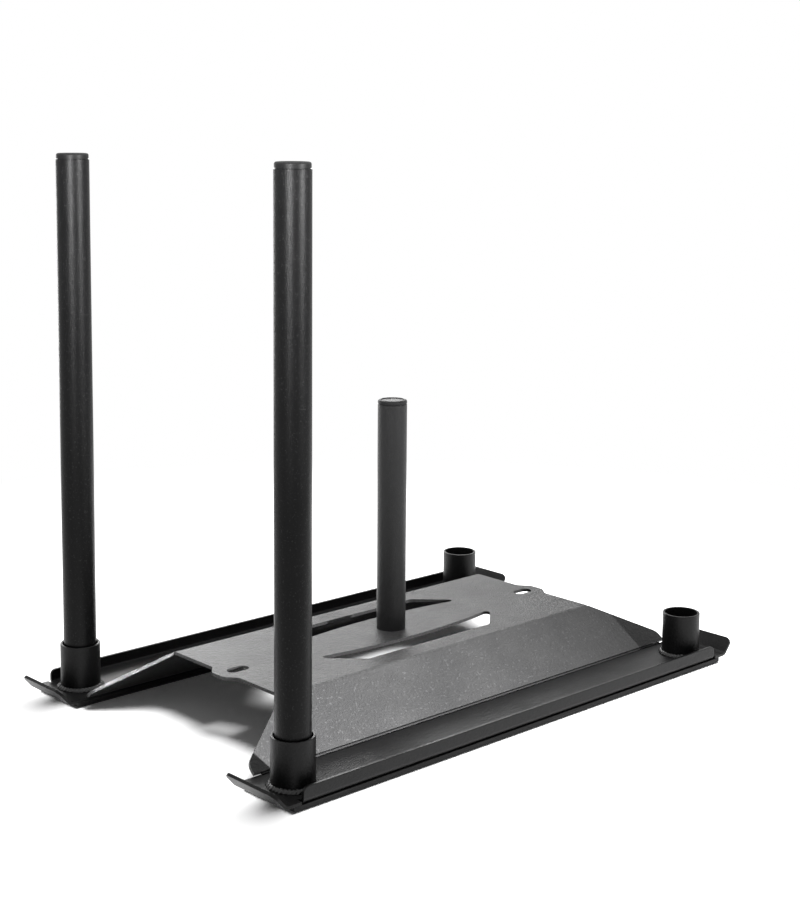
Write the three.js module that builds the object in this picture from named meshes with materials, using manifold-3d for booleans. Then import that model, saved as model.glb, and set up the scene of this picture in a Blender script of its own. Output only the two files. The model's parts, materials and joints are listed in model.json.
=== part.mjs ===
// Push sled for floor pushing and pulling, loaded with weight plates on a centre post.
// Millimetres, +Z up. +X is the direction of pushing, +Y is the left side.
// The origin is on the floor, under the centre of the sled.
import * as THREE from 'three';
import { mergeVertices } from 'three/addons/utils/BufferGeometryUtils.js';
import Module from 'manifold-3d';

const wasm = await Module();
wasm.setup();

// Rails: a skid tray over a runner on each side
const railHalfLength = 455;
const railInnerY = 205;
const railWidth = 107;
const railOuterY = railInnerY + railWidth;
const runnerThickness = 7.7;
const runnerSetback = 1.2;
const runnerChamfer = 2;
const weldGap = 0.3;
const traySheet = 5;
const trayBendInner = 3;
const lipStart = 14;
const lipLength = 30.8;
const lipAngle = THREE.MathUtils.degToRad(49);
const lipBendInner = 8;
const lipCorner = 11;
const flangeInset = 16;
const flangeHalfLength = railHalfLength - flangeInset;
const flangeTop = 31;
const flangeCorner = 9;
const reliefWidth = 3;
const reliefDepth = 3;
const flangeLap = 4;
const trayBottom = runnerThickness + weldGap;
const trayTop = trayBottom + traySheet;

// Deck: one bent sheet that stands on the trays
const deckTop = 81;
const deckSheet = 5;
const deckInset = 125;
const deckHalfLength = railHalfLength - deckInset;
const deckBendY = 129;
const deckBendOuter = 12;
const footSetIn = 2;
const footY = railInnerY + footSetIn;
const footInset = 17;
const footHalfLength = railHalfLength - footInset;
const footEndLength = 17.2;
const footCorner = 20;
const slopeDrop = deckTop - trayTop - weldGap;

// Tow tabs and slots at the two ends of the deck
const tabReach = 15.5;
const tabTipHalfWidth = 13;
const tabBaseHalfWidth = 33;
const tabTipCorner = 12;
const tabBaseCorner = 14;
const towSlotInset = 22;
const towSlotX = deckHalfLength - towSlotInset;
const towSlotLength = 37;
const towSlotWidth = 20;

// Crescent lightening slots beside the post
const crescentInset = 138;
const crescentHalfLength = deckHalfLength - crescentInset;
const crescentEndY = 35;
const crescentMidY = 54;
const crescentOuterY = 93;
const crescentEndRun = 61;
const crescentOuterHalfLength = crescentHalfLength - crescentEndRun;
const crescentTipCorner = 6;
const crescentOuterCorner = 14;

// Sockets for the push poles
const poleRadius = 25;
const poleFit = 1.9;
const socketInset = 40;
const socketX = railHalfLength - socketInset;
const socketOffset = 2;
const socketY = railInnerY + railWidth / 2 + socketOffset;
const socketBoreRadius = poleRadius + poleFit;
const socketWall = 3.6;
const socketOuterRadius = socketBoreRadius + socketWall;
const socketTop = 82;
const socketRimChamfer = 0.8;
const socketWeldLeg = 7;
const socketFoot = trayTop + weldGap;

// Push poles: round tube with a plug cap in the top
const poleWall = 3;
const poleTop = 828;
const poleFoot = trayTop + weldGap;
const capFit = 0.3;
const capSkirt = 22;
const capHead = 9;
const capHeadInset = 0.9;
const capEdge = 2.4;
const capHollowWall = 3;
const capGroove = 0.7;

// Plate post: round tube that goes through the deck, with its own plug cap
const postRadius = 23.2;
const postWall = 3;
const postTop = 445;
const postStub = 3;
const postFoot = deckTop - deckSheet - postStub;
const postCapHead = 6.5;
const postCapEdge = 2.2;
const postWeldLeg = 4;

// Weld beads
const seamLeg = 3.6;
const seamSetback = 26;
const seamToeShare = 0.7;
const seamBulgeShare = 0.45;
const seamRootShare = 0.15;
const seamOnFootShare = 0.8;
const weldSectionShares = [[0, 0], [1, 0], [0.82, 0.34], [0.5, 0.68], [0.16, 0.94], [0, 1], [0, 0]];
const capEdgeShare = 0.3;

// Every cut runs this far past the piece that it cuts
const cutPast = 15;

// Counts that set how finely round shapes are faceted
const roundSegments = 64;
const capSegments = 48;
const weldSegments = 48;
const filletSteps = 6;
const arcSteps = 24;
const bendSteps = 7;
const slopeSolveSteps = 20;

const frameMetal = { color: 0x3a3a3b, roughness: 0.62, metalness: 0.35 };
const poleMetal = { color: 0x242425, roughness: 0.5, metalness: 0.35 };
const weldMetal = { color: 0x4c4c4d, roughness: 0.5, metalness: 0.45 };
const capPlastic = { color: 0x1d1d1e, roughness: 0.55, metalness: 0.0 };

function toSolid(geometry) {
  const plain = geometry.index ? geometry.toNonIndexed() : geometry.clone();
  plain.deleteAttribute('normal');
  plain.deleteAttribute('uv');
  const merged = mergeVertices(plain);
  const vertices = new Float32Array(merged.attributes.position.array);
  const index = merged.index.array;
  const kept = [];
  for (let i = 0; i < index.length; i += 3) {
    const [a, b, c] = [index[i], index[i + 1], index[i + 2]];
    if (a !== b && b !== c && c !== a) kept.push(a, b, c);
  }
  if (signedVolume(vertices, kept) < 0) kept.reverse();
  const triangles = new Uint32Array(kept);
  return new wasm.Manifold(new wasm.Mesh({ numProp: 3, vertProperties: vertices, triVerts: triangles }));
}

function signedVolume(vertices, index) {
  let volume = 0;
  const a = new THREE.Vector3();
  const b = new THREE.Vector3();
  const c = new THREE.Vector3();
  for (let i = 0; i < index.length; i += 3) {
    a.fromArray(vertices, index[i] * 3);
    b.fromArray(vertices, index[i + 1] * 3);
    c.fromArray(vertices, index[i + 2] * 3);
    volume += a.dot(b.cross(c));
  }
  return volume;
}

function toGeometry(solid) {
  const mesh = solid.getMesh();
  const geometry = new THREE.BufferGeometry();
  geometry.setAttribute('position', new THREE.BufferAttribute(new Float32Array(mesh.vertProperties), 3));
  geometry.setIndex(new THREE.BufferAttribute(new Uint32Array(mesh.triVerts), 1));
  geometry.computeVertexNormals();
  return geometry;
}

// Outline through corners [x, y, radius]; a corner with a radius becomes an arc.
function roundedOutline(corners, steps = filletSteps) {
  const outline = [];
  corners.forEach(([x, y, radius = 0], i) => {
    const corner = new THREE.Vector2(x, y);
    if (radius === 0) {
      outline.push(corner);
      return;
    }
    const previous = corners[(i + corners.length - 1) % corners.length];
    const next = corners[(i + 1) % corners.length];
    const toPrevious = new THREE.Vector2(previous[0], previous[1]).sub(corner).normalize();
    const toNext = new THREE.Vector2(next[0], next[1]).sub(corner).normalize();
    const halfAngle = Math.acos(THREE.MathUtils.clamp(toPrevious.dot(toNext), -1, 1)) / 2;
    const bisector = toPrevious.clone().add(toNext).normalize();
    const centre = corner.clone().addScaledVector(bisector, radius / Math.sin(halfAngle));
    const start = corner.clone().addScaledVector(toPrevious, radius / Math.tan(halfAngle)).sub(centre);
    const turn = Math.PI - 2 * halfAngle;
    const side = Math.sign(toNext.cross(toPrevious));
    for (let step = 0; step <= steps; step += 1) {
      outline.push(start.clone().rotateAround(new THREE.Vector2(), side * turn * step / steps).add(centre));
    }
  });
  return outline;
}

function extrude(outline, depth) {
  return new THREE.ExtrudeGeometry(new THREE.Shape(outline), { depth, bevelEnabled: false, steps: 1 });
}

// Outline in the XY plane, from height low to height high
function plateXY(outline, low, high) {
  return toSolid(extrude(outline, high - low).translate(0, 0, low));
}

// Outline in the YZ plane, swept along X over a centred length
function barAlongX(outline, length) {
  const turn = new THREE.Matrix4().makeBasis(
    new THREE.Vector3(0, 1, 0),
    new THREE.Vector3(0, 0, 1),
    new THREE.Vector3(1, 0, 0),
  );
  return toSolid(extrude(outline, length).translate(0, 0, -length / 2).applyMatrix4(turn));
}

// Outline in the XZ plane, swept along Y from yLow to yHigh
function barAlongY(outline, yLow, yHigh) {
  const turn = new THREE.Matrix4().makeBasis(
    new THREE.Vector3(1, 0, 0),
    new THREE.Vector3(0, 0, 1),
    new THREE.Vector3(0, -1, 0),
  );
  return toSolid(extrude(outline, yHigh - yLow).applyMatrix4(turn).translate(0, yHigh, 0));
}

function lathe(profile, segments) {
  const points = profile.map(([r, z]) => new THREE.Vector2(r, z));
  return new THREE.LatheGeometry(points, segments).rotateX(Math.PI / 2);
}

function named(name, geometry, look) {
  const mesh = new THREE.Mesh(geometry, new THREE.MeshStandardMaterial(look));
  mesh.name = name;
  return mesh;
}

// Deck plate
const slopeAngle = angleOfSlope();

// The lower corner of the slanted sheet end stands on the tray, its upper corner is at footY.
function angleOfSlope() {
  const run = footY - deckBendY;
  let angle = Math.atan2(slopeDrop, run);
  for (let i = 0; i < slopeSolveSteps; i += 1) {
    angle = Math.atan2(slopeDrop - deckSheet * Math.cos(angle), run);
  }
  return angle;
}

function deckProfile() {
  const along = new THREE.Vector2(Math.cos(slopeAngle), -Math.sin(slopeAngle));
  const inward = new THREE.Vector2(-Math.sin(slopeAngle), -Math.cos(slopeAngle)).multiplyScalar(deckSheet);
  const lowestFoot = trayTop + weldGap;
  const slopeLength = (deckTop + inward.y - lowestFoot) / Math.sin(slopeAngle);
  const foot = new THREE.Vector2(deckBendY, deckTop).addScaledVector(along, slopeLength);
  const under = foot.clone().add(inward);
  const innerBendY = deckBendY - deckSheet * Math.tan(slopeAngle / 2);
  const innerRadius = deckBendOuter - deckSheet;
  return {
    slopeLength,
    foot,
    under,
    outline: roundedOutline([
      [foot.x, foot.y],
      [deckBendY, deckTop, deckBendOuter],
      [-deckBendY, deckTop, deckBendOuter],
      [-foot.x, foot.y],
      [-under.x, under.y],
      [-innerBendY, deckTop - deckSheet, innerRadius],
      [innerBendY, deckTop - deckSheet, innerRadius],
      [under.x, under.y],
    ], bendSteps),
  };
}

const deckShape = deckProfile();

// What is cut from the flat top beyond its end, leaving the tow tab
function endOffcut() {
  const far = footHalfLength + cutPast;
  const tabTip = deckHalfLength + tabReach;
  return roundedOutline([
    [deckHalfLength, deckBendY],
    [deckHalfLength, tabBaseHalfWidth, tabBaseCorner],
    [tabTip, tabTipHalfWidth, tabTipCorner],
    [tabTip, -tabTipHalfWidth, tabTipCorner],
    [deckHalfLength, -tabBaseHalfWidth, tabBaseCorner],
    [deckHalfLength, -deckBendY],
    [far, -deckBendY],
    [far, deckBendY],
  ]);
}

// What is cut from one end of a slope, in the plane of the slope:
// first number along the rail, second number down the slope from the bend line
function slopeOffcut() {
  const far = footHalfLength + cutPast;
  const flareLength = deckShape.slopeLength - footEndLength;
  const past = deckShape.slopeLength + cutPast;
  return roundedOutline([
    [deckHalfLength, 0],
    [footHalfLength, flareLength, footCorner],
    [footHalfLength, past],
    [far, past],
    [far, 0],
  ]);
}

function crescent() {
  const chord = crescentHalfLength;
  const rise = crescentMidY - crescentEndY;
  const radius = (chord * chord + rise * rise) / (2 * rise);
  const centreY = crescentMidY - radius;
  const halfAngle = Math.asin(chord / radius);
  const corners = [
    [-chord, crescentEndY, crescentTipCorner],
    [-crescentOuterHalfLength, crescentOuterY, crescentOuterCorner],
    [crescentOuterHalfLength, crescentOuterY, crescentOuterCorner],
    [chord, crescentEndY, crescentTipCorner],
  ];
  for (let step = 1; step < arcSteps; step += 1) {
    const angle = halfAngle * (1 - 2 * step / arcSteps);
    corners.push([radius * Math.sin(angle), centreY + radius * Math.cos(angle)]);
  }
  return roundedOutline(corners);
}

function towSlot(centreX) {
  const halfStraight = (towSlotLength - towSlotWidth) / 2;
  const endRadius = towSlotWidth / 2;
  const outline = [];
  for (const side of [1, -1]) {
    for (let step = 0; step <= arcSteps / 2; step += 1) {
      const angle = Math.PI * (step / (arcSteps / 2) - 1 / 2) + (side < 0 ? Math.PI : 0);
      const x = centreX + side * halfStraight + endRadius * Math.cos(angle);
      outline.push(new THREE.Vector2(x, endRadius * Math.sin(angle)));
    }
  }
  return outline;
}

function mirrorX(outline) {
  return outline.map((point) => new THREE.Vector2(-point.x, point.y)).reverse();
}

function mirrorY(outline) {
  return outline.map((point) => new THREE.Vector2(point.x, -point.y)).reverse();
}

function buildDeck() {
  const past = deckTop + cutPast;
  let solid = barAlongX(deckShape.outline, 2 * footHalfLength + cutPast);
  const deep = deckSheet + cutPast;
  for (const end of [1, -1]) {
    const flat = end > 0 ? endOffcut() : mirrorX(endOffcut());
    solid = solid.subtract(plateXY(flat, deckTop - deep, past));
    const slope = end > 0 ? slopeOffcut() : mirrorX(slopeOffcut());
    for (const side of [1, -1]) {
      const down = new THREE.Vector3(0, side * Math.cos(slopeAngle), -Math.sin(slopeAngle));
      const along = new THREE.Vector3(1, 0, 0);
      const outward = new THREE.Vector3().crossVectors(along, down);
      const place = new THREE.Matrix4().makeBasis(along, down, outward);
      place.setPosition(0, side * deckBendY, deckTop);
      const cutter = extrude(slope, 2 * deep).translate(0, 0, -deep).applyMatrix4(place);
      solid = solid.subtract(toSolid(cutter));
    }
    solid = solid.subtract(plateXY(towSlot(end * towSlotX), deckTop - deep, past));
  }
  solid = solid.subtract(plateXY(crescent(), deckTop - deep, past));
  solid = solid.subtract(plateXY(mirrorY(crescent()), deckTop - deep, past));
  const postHole = lathe([
    [0, deckTop - deep],
    [postRadius + weldGap, deckTop - deep],
    [postRadius + weldGap, past],
    [0, past],
  ], roundSegments);
  solid = solid.subtract(toSolid(postHole));
  return named('deck_plate', toGeometry(solid), frameMetal);
}

// What is cut from a sheet corner at the origin, of a sheet that lies below and left of it
function cornerOffcut(radius) {
  const outline = [
    new THREE.Vector2(cutPast, -radius),
    new THREE.Vector2(cutPast, cutPast),
    new THREE.Vector2(-radius, cutPast),
  ];
  for (let step = 0; step <= filletSteps; step += 1) {
    const angle = Math.PI / 2 * (1 - step / filletSteps);
    outline.push(new THREE.Vector2(Math.cos(angle) - 1, Math.sin(angle) - 1).multiplyScalar(radius));
  }
  return outline;
}

// Skid tray of the left side; the right one is the same piece turned round
function buildTray() {
  const lipAlong = new THREE.Vector2(Math.cos(lipAngle), Math.sin(lipAngle)).multiplyScalar(lipLength);
  const lipUp = new THREE.Vector2(-Math.sin(lipAngle), Math.cos(lipAngle)).multiplyScalar(traySheet);
  const lipBendX = railHalfLength + lipStart;
  const innerBendX = lipBendX - traySheet * Math.tan(lipAngle / 2);
  const tip = new THREE.Vector2(lipBendX, trayBottom).add(lipAlong);
  const tipTop = tip.clone().add(lipUp);
  const lipProfile = roundedOutline([
    [-lipBendX, trayBottom, lipBendInner + traySheet],
    [lipBendX, trayBottom, lipBendInner + traySheet],
    [tip.x, tip.y],
    [tipTop.x, tipTop.y],
    [innerBendX, trayTop, lipBendInner],
    [-innerBendX, trayTop, lipBendInner],
    [-tipTop.x, tipTop.y],
    [-tip.x, tip.y],
  ]);
  let solid = barAlongY(lipProfile, railInnerY, railOuterY);

  for (const end of [1, -1]) {
    for (const side of [1, -1]) {
      const across = new THREE.Vector3(0, side, 0);
      const up = new THREE.Vector3(end * Math.cos(lipAngle), 0, Math.sin(lipAngle));
      const through = new THREE.Vector3().crossVectors(across, up);
      const place = new THREE.Matrix4().makeBasis(across, up, through);
      place.setPosition(end * tip.x, side > 0 ? railOuterY : railInnerY, tip.y);
      const deep = traySheet + cutPast;
      const cutter = extrude(cornerOffcut(lipCorner), 2 * deep).translate(0, 0, -deep).applyMatrix4(place);
      solid = solid.subtract(toSolid(cutter));
    }
  }

  const bendOuter = trayBendInner + traySheet;
  const reliefX = flangeHalfLength + reliefWidth;
  const bendStartY = railOuterY - bendOuter;
  const reliefY = bendStartY - reliefDepth;
  const relief = [
    new THREE.Vector2(-reliefX, reliefY),
    new THREE.Vector2(reliefX, reliefY),
    new THREE.Vector2(reliefX, railOuterY + cutPast),
    new THREE.Vector2(-reliefX, railOuterY + cutPast),
  ];
  solid = solid.subtract(plateXY(relief, 0, trayTop + cutPast));

  const flangeInnerY = railOuterY - traySheet;
  const flangeProfile = roundedOutline([
    [reliefY - flangeLap, trayBottom],
    [railOuterY, trayBottom, bendOuter],
    [railOuterY, flangeTop],
    [flangeInnerY, flangeTop],
    [flangeInnerY, trayTop, trayBendInner],
    [reliefY - flangeLap, trayTop],
  ]);
  const flangeFace = roundedOutline([
    [-flangeHalfLength, 0],
    [flangeHalfLength, 0],
    [flangeHalfLength, flangeTop, flangeCorner],
    [-flangeHalfLength, flangeTop, flangeCorner],
  ]);
  const flange = barAlongX(flangeProfile, 2 * railHalfLength);
  const flangeBlank = barAlongY(flangeFace, reliefY - flangeLap, railOuterY + cutPast);
  return toGeometry(solid.add(flange.intersect(flangeBlank)));
}

function buildRunner() {
  const end = railHalfLength - runnerSetback;
  const low = railInnerY + runnerSetback;
  const high = railOuterY - runnerSetback / 2;
  const side = [
    new THREE.Vector2(-end + runnerChamfer, 0),
    new THREE.Vector2(end - runnerChamfer, 0),
    new THREE.Vector2(end, runnerChamfer),
    new THREE.Vector2(end, runnerThickness),
    new THREE.Vector2(-end, runnerThickness),
    new THREE.Vector2(-end, runnerChamfer),
  ];
  const section = [
    new THREE.Vector2(low + runnerChamfer / 2, 0),
    new THREE.Vector2(high - runnerChamfer / 2, 0),
    new THREE.Vector2(high, runnerChamfer / 2),
    new THREE.Vector2(high, runnerThickness),
    new THREE.Vector2(low, runnerThickness),
    new THREE.Vector2(low, runnerChamfer / 2),
  ];
  return toGeometry(barAlongY(side, low, high).intersect(barAlongX(section, 2 * railHalfLength)));
}

function buildSocket() {
  const height = socketTop - socketFoot;
  return toGeometry(toSolid(lathe([
    [socketBoreRadius, 0],
    [socketOuterRadius, 0],
    [socketOuterRadius, height - socketRimChamfer],
    [socketOuterRadius - socketRimChamfer, height],
    [socketBoreRadius + socketRimChamfer, height],
    [socketBoreRadius, height - socketRimChamfer],
    [socketBoreRadius, 0],
  ], roundSegments)));
}

// Fillet weld round a tube foot
function buildRingWeld(tubeRadius, leg) {
  const inner = tubeRadius + weldGap;
  const section = weldSectionShares.map(([out, up]) => [inner + leg * out, leg * up]);
  return toGeometry(toSolid(lathe(section, weldSegments)));
}

// Seam weld in the corner between the foot of the slope and the tray
function buildSeamWeld() {
  const down = new THREE.Vector2(Math.cos(slopeAngle), -Math.sin(slopeAngle));
  const low = deckShape.under.clone().addScaledVector(down, weldGap);
  const high = deckShape.foot.clone().addScaledVector(down, weldGap);
  const outline = [
    new THREE.Vector2(low.x + weldGap, trayTop + weldGap),
    new THREE.Vector2(high.x + seamLeg * seamToeShare, trayTop + weldGap),
    new THREE.Vector2(high.x + seamLeg * seamBulgeShare, trayTop + seamLeg * seamBulgeShare),
    low.clone().lerp(high, seamOnFootShare),
    low.clone().lerp(high, seamRootShare),
  ];
  return toGeometry(barAlongX(outline, 2 * (footHalfLength - seamSetback)));
}

function buildTube(radius, wall, length) {
  return toGeometry(toSolid(lathe([
    [radius - wall, 0],
    [radius, 0],
    [radius, length],
    [radius - wall, length],
    [radius - wall, 0],
  ], roundSegments)));
}

// Plug cap: a head that rests on the tube, and a hollow skirt inside the tube
function buildCap(headRadius, head, edge, tubeBore, skirt, groove) {
  const skirtRadius = tubeBore - capFit;
  const profile = [
    [0, -skirt + head],
    [skirtRadius - capHollowWall, -skirt + head],
    [skirtRadius - capHollowWall, -skirt],
    [skirtRadius, -skirt],
    [skirtRadius, capFit],
    [headRadius - groove, capFit],
    [headRadius - groove, capFit + groove],
    [headRadius, capFit + groove],
    [headRadius, head - edge],
    [headRadius - edge * capEdgeShare, head - edge * capEdgeShare],
    [headRadius - edge, head],
    [0, head],
  ];
  return toGeometry(toSolid(lathe(profile, capSegments)));
}

const sled = new THREE.Group();
sled.add(buildDeck());

// One rail, built for the left side. Turned half round it is the right one.
function buildRail(side) {
  const rail = new THREE.Group();
  rail.rotation.z = side === 'left' ? 0 : Math.PI;
  rail.add(named(`skid_tray_${side}`, buildTray(), frameMetal));
  rail.add(named(`runner_${side}`, buildRunner(), frameMetal));
  rail.add(named(`weld_seam_${side}`, buildSeamWeld(), weldMetal));
  for (const end of [1, -1]) {
    const atFront = (end > 0) === (side === 'left');
    const where = `${atFront ? 'front' : 'rear'}_${side}`;
    const station = new THREE.Group();
    station.position.set(end * socketX, socketY, socketFoot);
    station.add(named(`socket_${where}`, buildSocket(), frameMetal));
    station.add(named(`weld_socket_${where}`, buildRingWeld(socketOuterRadius, socketWeldLeg), weldMetal));
    if (!atFront) {
      const pole = new THREE.Group();
      pole.position.z = poleFoot - socketFoot;
      pole.add(named(`push_pole_${side}`, buildTube(poleRadius, poleWall, poleTop - poleFoot), poleMetal));
      const poleBore = poleRadius - poleWall;
      const cap = buildCap(poleRadius - capHeadInset, capHead, capEdge, poleBore, capSkirt, capGroove);
      const capMesh = named(`pole_cap_${side}`, cap, capPlastic);
      capMesh.position.z = poleTop - poleFoot;
      pole.add(capMesh);
      station.add(pole);
    }
    rail.add(station);
  }
  return rail;
}

sled.add(buildRail('left'));
sled.add(buildRail('right'));

const post = new THREE.Group();
post.position.z = postFoot;
post.add(named('plate_post', buildTube(postRadius, postWall, postTop - postFoot), frameMetal));
const postWeld = named('weld_post', buildRingWeld(postRadius, postWeldLeg), weldMetal);
postWeld.rotation.x = Math.PI;
postWeld.position.z = postStub - weldGap;
post.add(postWeld);
const postBore = postRadius - postWall;
const postCapShape = buildCap(postRadius, postCapHead, postCapEdge, postBore, capSkirt, capGroove);
const postCap = named('plate_post_cap', postCapShape, capPlastic);
postCap.position.z = postTop - postFoot;
post.add(postCap);
sled.add(post);

export default sled;
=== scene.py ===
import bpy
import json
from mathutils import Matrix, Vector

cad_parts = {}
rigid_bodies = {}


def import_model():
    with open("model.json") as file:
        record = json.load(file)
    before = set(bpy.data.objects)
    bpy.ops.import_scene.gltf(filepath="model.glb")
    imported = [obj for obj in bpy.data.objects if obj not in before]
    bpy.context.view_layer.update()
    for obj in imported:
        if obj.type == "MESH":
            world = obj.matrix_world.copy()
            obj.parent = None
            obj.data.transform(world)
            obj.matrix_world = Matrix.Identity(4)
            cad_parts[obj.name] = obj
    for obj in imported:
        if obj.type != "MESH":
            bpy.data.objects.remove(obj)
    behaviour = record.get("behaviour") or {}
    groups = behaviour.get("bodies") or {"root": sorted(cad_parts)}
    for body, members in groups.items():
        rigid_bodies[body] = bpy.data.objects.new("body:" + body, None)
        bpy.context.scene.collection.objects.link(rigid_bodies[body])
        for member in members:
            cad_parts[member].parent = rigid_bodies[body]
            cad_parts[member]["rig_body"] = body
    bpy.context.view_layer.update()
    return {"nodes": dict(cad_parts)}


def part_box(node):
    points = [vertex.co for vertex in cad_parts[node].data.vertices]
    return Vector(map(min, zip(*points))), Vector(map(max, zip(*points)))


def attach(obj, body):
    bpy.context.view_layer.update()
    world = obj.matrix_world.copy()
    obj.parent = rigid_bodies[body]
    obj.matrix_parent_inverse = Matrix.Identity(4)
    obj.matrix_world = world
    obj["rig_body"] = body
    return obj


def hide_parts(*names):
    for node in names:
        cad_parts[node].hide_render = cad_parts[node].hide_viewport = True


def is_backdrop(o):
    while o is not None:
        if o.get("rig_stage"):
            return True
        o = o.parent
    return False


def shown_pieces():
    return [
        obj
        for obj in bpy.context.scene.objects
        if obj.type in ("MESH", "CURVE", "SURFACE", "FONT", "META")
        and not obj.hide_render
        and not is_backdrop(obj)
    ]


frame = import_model()

import json
import math
import random

import bmesh
import bpy
from bpy.props import FloatProperty, FloatVectorProperty, IntProperty, PointerProperty
from mathutils import Matrix, Vector

bl_info = {
    "name": "Push Sled",
    "version": (1, 0, 0),
    "blender": (4, 5, 0),
    "location": "3D View > Sidebar > Push Sled",
    "description": "Builds a push sled's sheet, tube and weld pieces on its frame, with finishes and a studio stage",
    "category": "Object",
}

SIDES = ("left", "right")
CORNERS = ("rear_left", "rear_right", "front_left", "front_right")
CAPPED_TUBES = (
    ("pole_cap_left", "push_pole_left"),
    ("pole_cap_right", "push_pole_right"),
    ("plate_post_cap", "plate_post"),
)

# Metres: corners closer than this are one, how near its end a seam's end corners lie, the gap between a bead and
# its tube, the widest cut face of the sheets, and the flat land round the dish of a cap
MERGE_DISTANCE = 0.00001
END_REACH = 0.0001
BEAD_GAP = 0.0003
WIDEST_CUT = 0.0065
CAP_LAND = 0.0005

# How far up its head a cap is hollow
CAP_HOLLOW = 0.4

# Faces that meet flatter than the first are joined, sharper than the second are rounded, sharper than the third
# stay a crisp edge
FLAT_ANGLE = math.radians(1)
ROUNDED_ANGLE = math.radians(35)
CRISP_ANGLE = math.radians(40)

# Mesh rows in one ripple of a bead, and faces in the quarter circles of beads and caps
RING_ROWS, SEAM_ROWS = 7, 5
BEAD_ARC, CAP_ARC = 9, 6

# How far a ripple leans back on the bead, how full the bead's section is, and how strongly a seam's ripple crests take
# the lighter edge colour, a painted highlight
RIPPLE_LEAN, BEAD_FULLNESS, SEAM_CREST_HIGHLIGHT = 0.45, 1.35, 0.6

# The fewest ripples of a ring bead, and the waves round it that make its size drift, with their least and most height
FEWEST_RIPPLES, DRIFT_WAVES, DRIFT_HEIGHTS = 8, (2, 3, 5, 8), (0.3, 1.0)

# First random seed of the seams; the ring beads count from 0
SEAM_SEED = 20

# Material of each finish, the coats' settings, and which colour a coat takes where it isn't its own
FINISH_NAMES = {
    "deck": "Deck Powder Coat",
    "tray": "Tray Powder Coat",
    "socket": "Socket Powder Coat",
    "pole": "Pole Powder Coat",
    "post": "Post Powder Coat",
    "bead": "Bead Powder Coat",
    "seam": "Seam Powder Coat",
    "runner": "Runner Paint",
    "cap": "Cap Plastic",
    "post_cap": "Post Cap Plastic",
}
# In the coats' settings, wear is how strongly edges and crests take the lighter thin coat colour: partly a thin coat
# and partly a painted highlight.
COAT_FIELDS = ("rough", "grain", "grain_depth", "specks", "dusting", "specular", "wear", "cut_gloss")
COATS = {
    "deck": (0.4, 330.0, 0.00085, 0.1, 0.04, 0.23, 0.25, 0.12),
    "tray": (0.4, 520.0, 0.0002, 0.03, 0.02, 0.14, 0.4, 0.1),
    "socket": (0.4, 480.0, 0.0003, 0.03, 0.0, 0.16, 0.5, 0.08),
    "pole": (0.34, 480.0, 0.00022, 0.08, 0.0, 0.12, 0.3, 0.1),
    "post": (0.42, 480.0, 0.0003, 0.04, 0.0, 0.34, 0.3, 0.1),
    "bead": (0.3, 300.0, 0.0004, 0.03, 0.0, 0.35, 0.1, 0.1),
    "seam": (0.5, 300.0, 0.0004, 0.03, 0.0, 0.12, 0.05, 0.1),
}
BORROWED_COLOURS = {"deck": "sheet", "seam": "bead"}

# The spans of a noise texture's values: the one that holds most of them, and those that fade in as light specks,
# worn spots, patches of dust and scratches
MOST_NOISE = (0.3, 0.7)
SPECK_SPAN = (0.62, 0.74)
WORN_SPAN = (0.32, 0.62)
DUST_SPAN = (0.35, 0.75)
SCRATCH_SPAN = (0.56, 0.68)

# Powder coat: the share of fine pebbles in its grain, the scales of its coarse grain and specks against the pebbles',
# and the features a metre of its slow mottle
PEBBLE_SHARE, COARSE_SCALE, SPECK_SCALE, MOTTLE_SCALE = 0.65, 0.35, 0.8, 14.0

# The least painted highlight and wear left on a crest, how far up a face has to look to hold dust, the squeeze that
# draws scratches out along the sled, and from where to where a face that looks down is the runner's sole
LEAST_WEAR_AND_HIGHLIGHT = 0.25
DUSTY_FROM = 0.55
SCRATCH_SQUEEZE = (0.025, 1.0, 1.0)
SOLE_SPAN = (-0.3, -0.9)

# Tones of the coat against its base colour and the thin coat's: mottle, specks and the painted shade of cut faces, how
# much of a cut face the painted shade covers, and how the mottle spreads the roughness
MOTTLE_TONES = (0.88, 1.14)
SPECK_TONE = 1.2
CUT_SHADE_TONE, CUT_SHADE_COVER = 0.3, 0.7
ROUGH_SPREAD = (-0.04, 0.05)

# Where the texture groups stand in a material's node tree
GRAIN_AT, WEAR_AT, FILM_AT = (-700, 300), (-700, 0), (-700, -200)

# Studio: the floor's radius, faces and drop under the runners, and where it starts and ends to turn white
FLOOR_RADIUS, FLOOR_FACES, FLOOR_DROP = 12.0, 96, 0.0005
FLOOR_WHITE_FROM, FLOOR_WHITE_TO = 0.8, 1.7
SENSOR_WIDTH = 36.0

# What the lamps aim at, and each lamp's place, aim, width, height and, with a grid before it, spread in degrees
MIDDLE = (0.0, 0.0, 0.2)
NEAR_SLOPE = (-0.4, -0.17, 0.05)
FAR_CUT_END = (-0.38, 0.165, 0.05)
POLE_TOPS = (-0.415, 0.0, 0.98)
POLE_FEET = (-0.415, 0.0, 0.4)
LAMPS = {
    "Top": ((0.1, 0.35, 2.6), MIDDLE, 2.0, 2.0),
    "Slope": ((0.72, -2.28, 0.41), NEAR_SLOPE, 0.08, 0.08, 42),
    "Edge": ((-1.95, -0.4, 1.25), FAR_CUT_END, 0.25, 0.25, 10),
    "Back": ((2.3, 4.7, 2.15), MIDDLE, 4.4, 1.3),
    "Left": ((-1.96, -1.2, 1.1), POLE_TOPS, 0.4, 0.5, 32),
    "Near": ((0.33, -2.3, 1.1), POLE_TOPS, 0.4, 0.5, 32),
    "Rim": ((0.13, 3.3, 0.4), POLE_FEET, 0.6, 0.8),
    "Floor": ((1.3, 0.35, 2.8), (0.0, 0.0, 0.0), 2.0, 2.0),
}


# Sizes, finishes and stage values


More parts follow.
